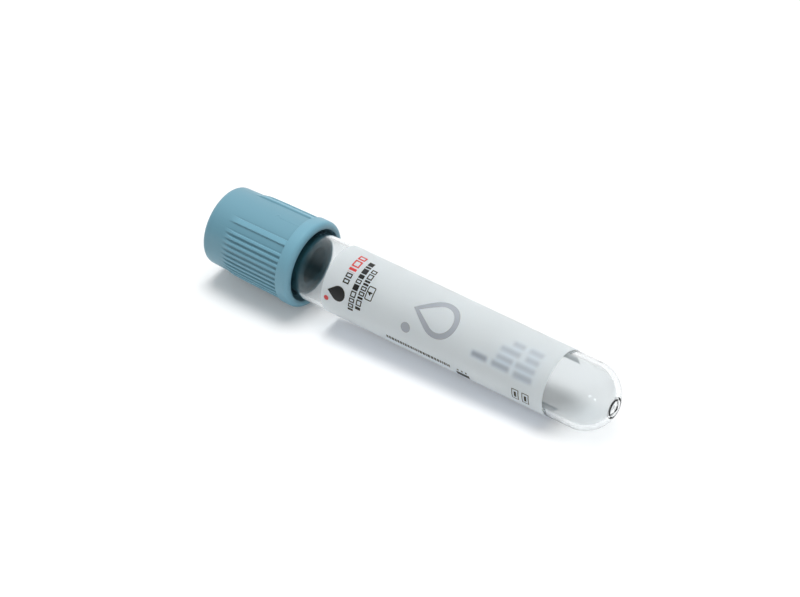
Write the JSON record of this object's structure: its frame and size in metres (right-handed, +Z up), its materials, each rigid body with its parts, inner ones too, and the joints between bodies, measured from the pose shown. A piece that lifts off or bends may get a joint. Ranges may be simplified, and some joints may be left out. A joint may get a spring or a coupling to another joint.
{
  "type": "blood collection tube",
  "caption": "Clear round-bottomed plastic tube with a wrapped film label, closed by a ribbed push-on cap with a rubber stopper, lying on its side.",
  "frame": {"origin": "middle of the underside of the whole object's box, on the surface it lies on", "axes": "+X along the lying tube towards its round end, tipped down by the tube's slight slope; +Y to the back; +Z up"},
  "size_m": [0.0884, 0.0172, 0.0173],
  "materials": {
    "tube": "clear, polished, colourless",
    "label": null,
    "cap": "satin moulded plastic, grey-blue",
    "stopper": "smooth dark slate rubber"
  },
  "bodies": {
    "tube_body": {"tube": "tube", "label": "label"},
    "closure": {"cap": "cap", "stopper": "stopper"}
  },
  "joints": [
    {"name": "closure_slide", "type": "slide", "parent": "tube_body", "child": "closure", "axis": [-0.9994, 0, 0.0347], "range_m": [0, 0.025]}
  ]
}
